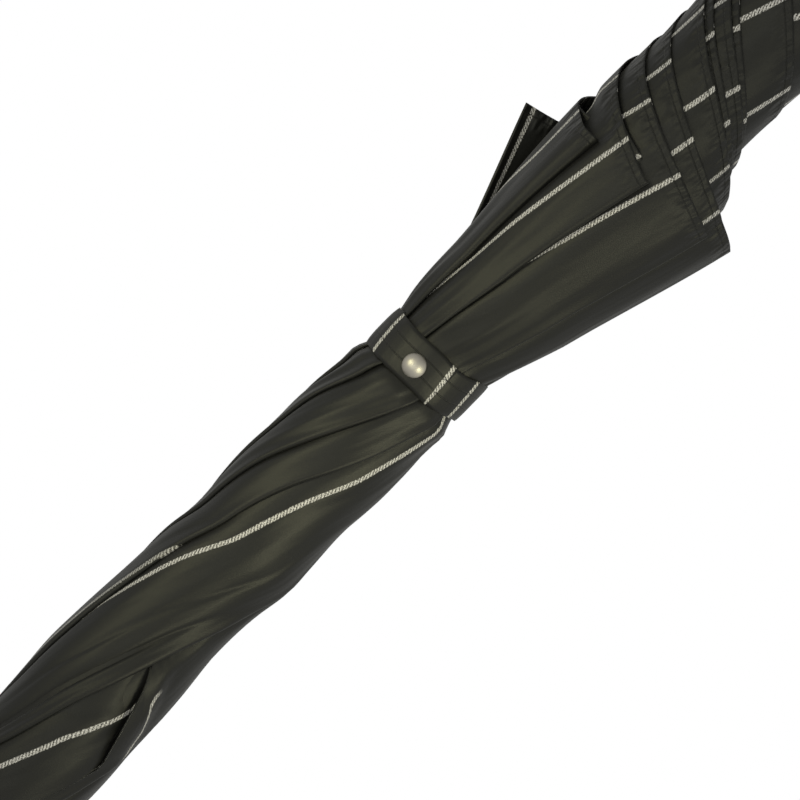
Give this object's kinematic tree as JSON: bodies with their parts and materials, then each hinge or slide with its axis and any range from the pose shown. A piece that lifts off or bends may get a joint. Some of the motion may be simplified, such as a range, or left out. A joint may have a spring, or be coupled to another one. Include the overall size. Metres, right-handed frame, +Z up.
{
  "type": "stick umbrella",
  "caption": "Furled stick umbrella with a crook handle, rolled pinstriped canopy, tie strap with a snap, folding ribs and a runner.",
  "frame": {"origin": "middle of the crook handle's straight grip, on the shaft's centre line", "axes": "+Z up the shaft from the handle to the ferrule; +X from the shaft towards the crook's nose; the strap's snap faces -Y"},
  "size_m": [0.1418, 0.0926, 0.8821],
  "materials": {
    "cloth": "satin",
    "black_steel": "satin",
    "nickel": "polished",
    "polished_wood": "gloss"
  },
  "bodies": {
    "frame": {"shaft_tube": "black_steel", "stop_pin": "black_steel", "notch_nail": "nickel", "crook_handle": "polished_wood", "handle_collar": "nickel", "crook_nose_cap": "nickel", "crown_patch": "cloth", "top_cap": "nickel", "ferrule": "nickel", "ferrule_tip": "black_steel", "top_notch": "nickel", "notch_wire": "black_steel"},
    "runner": {"runner": "nickel"},
    "lower_catch": {"lower_catch": "nickel"},
    "upper_catch": {"upper_catch": "nickel"},
    "rib_1": {"rib_1": "black_steel", "rib_tip_1": "nickel"},
    "stretcher_1": {"stretcher_1": "black_steel"},
    "panel_1": {"canopy_panel_1": "cloth"},
    "rib_2": {"rib_2": "black_steel", "rib_tip_2": "nickel"},
    "stretcher_2": {"stretcher_2": "black_steel"},
    "panel_2": {"canopy_panel_2": "cloth"},
    "rib_3": {"rib_3": "black_steel", "rib_tip_3": "nickel"},
    "stretcher_3": {"stretcher_3": "black_steel"},
    "panel_3": {"canopy_panel_3": "cloth"},
    "rib_4": {"rib_4": "black_steel", "rib_tip_4": "nickel"},
    "stretcher_4": {"stretcher_4": "black_steel"},
    "panel_4": {"canopy_panel_4": "cloth"},
    "rib_5": {"rib_5": "black_steel", "rib_tip_5": "nickel"},
    "stretcher_5": {"stretcher_5": "black_steel"},
    "panel_5": {"canopy_panel_5": "cloth"},
    "rib_6": {"rib_6": "black_steel", "rib_tip_6": "nickel"},
    "stretcher_6": {"stretcher_6": "black_steel"},
    "panel_6": {"canopy_panel_6": "cloth"},
    "rib_7": {"rib_7": "black_steel", "rib_tip_7": "nickel", "tie_strap": "cloth", "snap_stud": "nickel"},
    "stretcher_7": {"stretcher_7": "black_steel"},
    "panel_7": {"canopy_panel_7": "cloth"},
    "rib_8": {"rib_8": "black_steel", "rib_tip_8": "nickel"},
    "stretcher_8": {"stretcher_8": "black_steel"},
    "panel_8": {"canopy_panel_8": "cloth"},
    "strap_tab": {"strap_tab": "cloth", "snap_cap": "nickel", "snap_socket": "nickel"}
  },
  "joints": [
    {"name": "runner_slide", "type": "slide", "parent": "frame", "child": "runner", "axis": [0, 0, 1], "range_m": [0, 0.35606], "deforming": ["canopy_panel_1", "canopy_panel_2", "canopy_panel_3", "canopy_panel_4", "canopy_panel_5", "canopy_panel_6", "canopy_panel_7", "canopy_panel_8", "tie_strap", "strap_tab"]},
    {"name": "lower_catch_press", "type": "hinge", "parent": "frame", "child": "lower_catch", "pos_m": [0, 0, 0.109], "axis": [0.3827, -0.9239, 0], "range_deg": [0, 13], "stiffness_Nm_per_rad": 0.08, "springref_deg": -5.73},
    {"name": "upper_catch_press", "type": "hinge", "parent": "frame", "child": "upper_catch", "pos_m": [0, 0, 0.44], "axis": [0.3827, -0.9239, 0], "range_deg": [0, 13], "stiffness_Nm_per_rad": 0.08, "springref_deg": -5.73},
    {"name": "rib_1_hinge", "type": "hinge", "parent": "frame", "child": "rib_1", "pos_m": [0.008, 0, 0.7], "axis": [0, -1, 0], "range_deg": [0, 70.1]},
    {"name": "stretcher_1_hinge", "type": "hinge", "parent": "rib_1", "child": "stretcher_1", "pos_m": [0.0084, 0, 0.43], "axis": [0, 1, 0], "range_deg": [0, 140.2]},
    {"name": "panel_1_spread", "type": "hinge", "parent": "rib_1", "child": "panel_1", "pos_m": [0.00526, 0, 0.70752], "axis": [0.9397, 0, 0.342], "range_deg": [0, 45.1]},
    {"name": "rib_2_hinge", "type": "hinge", "parent": "frame", "child": "rib_2", "pos_m": [0.00566, 0.00566, 0.7], "axis": [0.7071, -0.7071, 0], "range_deg": [0, 70.1]},
    {"name": "stretcher_2_hinge", "type": "hinge", "parent": "rib_2", "child": "stretcher_2", "pos_m": [0.00594, 0.00594, 0.43], "axis": [-0.7071, 0.7071, 0], "range_deg": [0, 140.2]},
    {"name": "panel_2_spread", "type": "hinge", "parent": "rib_2", "child": "panel_2", "pos_m": [0.00372, 0.00372, 0.70752], "axis": [0.6645, 0.6645, 0.342], "range_deg": [0, 45.1]},
    {"name": "rib_3_hinge", "type": "hinge", "parent": "frame", "child": "rib_3", "pos_m": [0, 0.008, 0.7], "axis": [1, 0, 0], "range_deg": [0, 70.1]},
    {"name": "stretcher_3_hinge", "type": "hinge", "parent": "rib_3", "child": "stretcher_3", "pos_m": [0, 0.0084, 0.43], "axis": [-1, 0, 0], "range_deg": [0, 140.2]},
    {"name": "panel_3_spread", "type": "hinge", "parent": "rib_3", "child": "panel_3", "pos_m": [0, 0.00526, 0.70752], "axis": [0, 0.9397, 0.342], "range_deg": [0, 45.1]},
    {"name": "rib_4_hinge", "type": "hinge", "parent": "frame", "child": "rib_4", "pos_m": [-0.00566, 0.00566, 0.7], "axis": [0.7071, 0.7071, 0], "range_deg": [0, 70.1]},
    {"name": "stretcher_4_hinge", "type": "hinge", "parent": "rib_4", "child": "stretcher_4", "pos_m": [-0.00594, 0.00594, 0.43], "axis": [-0.7071, -0.7071, 0], "range_deg": [0, 140.2]},
    {"name": "panel_4_spread", "type": "hinge", "parent": "rib_4", "child": "panel_4", "pos_m": [-0.00372, 0.00372, 0.70752], "axis": [-0.6645, 0.6645, 0.342], "range_deg": [0, 45.1]},
    {"name": "rib_5_hinge", "type": "hinge", "parent": "frame", "child": "rib_5", "pos_m": [-0.008, 0, 0.7], "axis": [0, 1, 0], "range_deg": [0, 70.1]},
    {"name": "stretcher_5_hinge", "type": "hinge", "parent": "rib_5", "child": "stretcher_5", "pos_m": [-0.0084, 0, 0.43], "axis": [0, -1, 0], "range_deg": [0, 140.2]},
    {"name": "panel_5_spread", "type": "hinge", "parent": "rib_5", "child": "panel_5", "pos_m": [-0.00526, 0, 0.70752], "axis": [-0.9397, 0, 0.342], "range_deg": [0, 45.1]},
    {"name": "rib_6_hinge", "type": "hinge", "parent": "frame", "child": "rib_6", "pos_m": [-0.00566, -0.00566, 0.7], "axis": [-0.7071, 0.7071, 0], "range_deg": [0, 70.1]},
    {"name": "stretcher_6_hinge", "type": "hinge", "parent": "rib_6", "child": "stretcher_6", "pos_m": [-0.00594, -0.00594, 0.43], "axis": [0.7071, -0.7071, 0], "range_deg": [0, 140.2]},
    {"name": "panel_6_spread", "type": "hinge", "parent": "rib_6", "child": "panel_6", "pos_m": [-0.00372, -0.00372, 0.70752], "axis": [-0.6645, -0.6645, 0.342], "range_deg": [0, 45.1]},
    {"name": "rib_7_hinge", "type": "hinge", "parent": "frame", "child": "rib_7", "pos_m": [0, -0.008, 0.7], "axis": [-1, 0, 0], "range_deg": [0, 70.1]},
    {"name": "stretcher_7_hinge", "type": "hinge", "parent": "rib_7", "child": "stretcher_7", "pos_m": [0, -0.0084, 0.43], "axis": [1, 0, 0], "range_deg": [0, 140.2]},
    {"name": "panel_7_spread", "type": "hinge", "parent": "rib_7", "child": "panel_7", "pos_m": [0, -0.00526, 0.70752], "axis": [0, -0.9397, 0.342], "range_deg": [0, 45.1]},
    {"name": "rib_8_hinge", "type": "hinge", "parent": "frame", "child": "rib_8", "pos_m": [0.00566, -0.00566, 0.7], "axis": [-0.7071, -0.7071, 0], "range_deg": [0, 70.1]},
    {"name": "stretcher_8_hinge", "type": "hinge", "parent": "rib_8", "child": "stretcher_8", "pos_m": [0.00594, -0.00594, 0.43], "axis": [0.7071, 0.7071, 0], "range_deg": [0, 140.2]},
    {"name": "panel_8_spread", "type": "hinge", "parent": "rib_8", "child": "panel_8", "pos_m": [0.00372, -0.00372, 0.70752], "axis": [0.6645, -0.6645, 0.342], "range_deg": [0, 45.1]},
    {"name": "strap_tab_unsnap", "type": "hinge", "parent": "rib_7", "child": "strap_tab", "pos_m": [0.02501, -0.00813, 0.331], "axis": [0, 0, 1], "range_deg": [0, 100]}
  ],
  "couplings": [
    {"joint": "rib_1_hinge", "follows": "runner_slide", "rad_per_m": 3.4312},
    {"joint": "stretcher_1_hinge", "follows": "runner_slide", "rad_per_m": 6.8625},
    {"joint": "panel_1_spread", "follows": "runner_slide", "rad_per_m": 2.2058},
    {"joint": "rib_2_hinge", "follows": "runner_slide", "rad_per_m": 3.4312},
    {"joint": "stretcher_2_hinge", "follows": "runner_slide", "rad_per_m": 6.8625},
    {"joint": "panel_2_spread", "follows": "runner_slide", "rad_per_m": 2.2058},
    {"joint": "rib_3_hinge", "follows": "runner_slide", "rad_per_m": 3.4312},
    {"joint": "stretcher_3_hinge", "follows": "runner_slide", "rad_per_m": 6.8625},
    {"joint": "panel_3_spread", "follows": "runner_slide", "rad_per_m": 2.2058},
    {"joint": "rib_4_hinge", "follows": "runner_slide", "rad_per_m": 3.4312},
    {"joint": "stretcher_4_hinge", "follows": "runner_slide", "rad_per_m": 6.8625},
    {"joint": "panel_4_spread", "follows": "runner_slide", "rad_per_m": 2.2058},
    {"joint": "rib_5_hinge", "follows": "runner_slide", "rad_per_m": 3.4312},
    {"joint": "stretcher_5_hinge", "follows": "runner_slide", "rad_per_m": 6.8625},
    {"joint": "panel_5_spread", "follows": "runner_slide", "rad_per_m": 2.2058},
    {"joint": "rib_6_hinge", "follows": "runner_slide", "rad_per_m": 3.4312},
    {"joint": "stretcher_6_hinge", "follows": "runner_slide", "rad_per_m": 6.8625},
    {"joint": "panel_6_spread", "follows": "runner_slide", "rad_per_m": 2.2058},
    {"joint": "rib_7_hinge", "follows": "runner_slide", "rad_per_m": 3.4312},
    {"joint": "stretcher_7_hinge", "follows": "runner_slide", "rad_per_m": 6.8625},
    {"joint": "panel_7_spread", "follows": "runner_slide", "rad_per_m": 2.2058},
    {"joint": "rib_8_hinge", "follows": "runner_slide", "rad_per_m": 3.4312},
    {"joint": "stretcher_8_hinge", "follows": "runner_slide", "rad_per_m": 6.8625},
    {"joint": "panel_8_spread", "follows": "runner_slide", "rad_per_m": 2.2058}
  ]
}
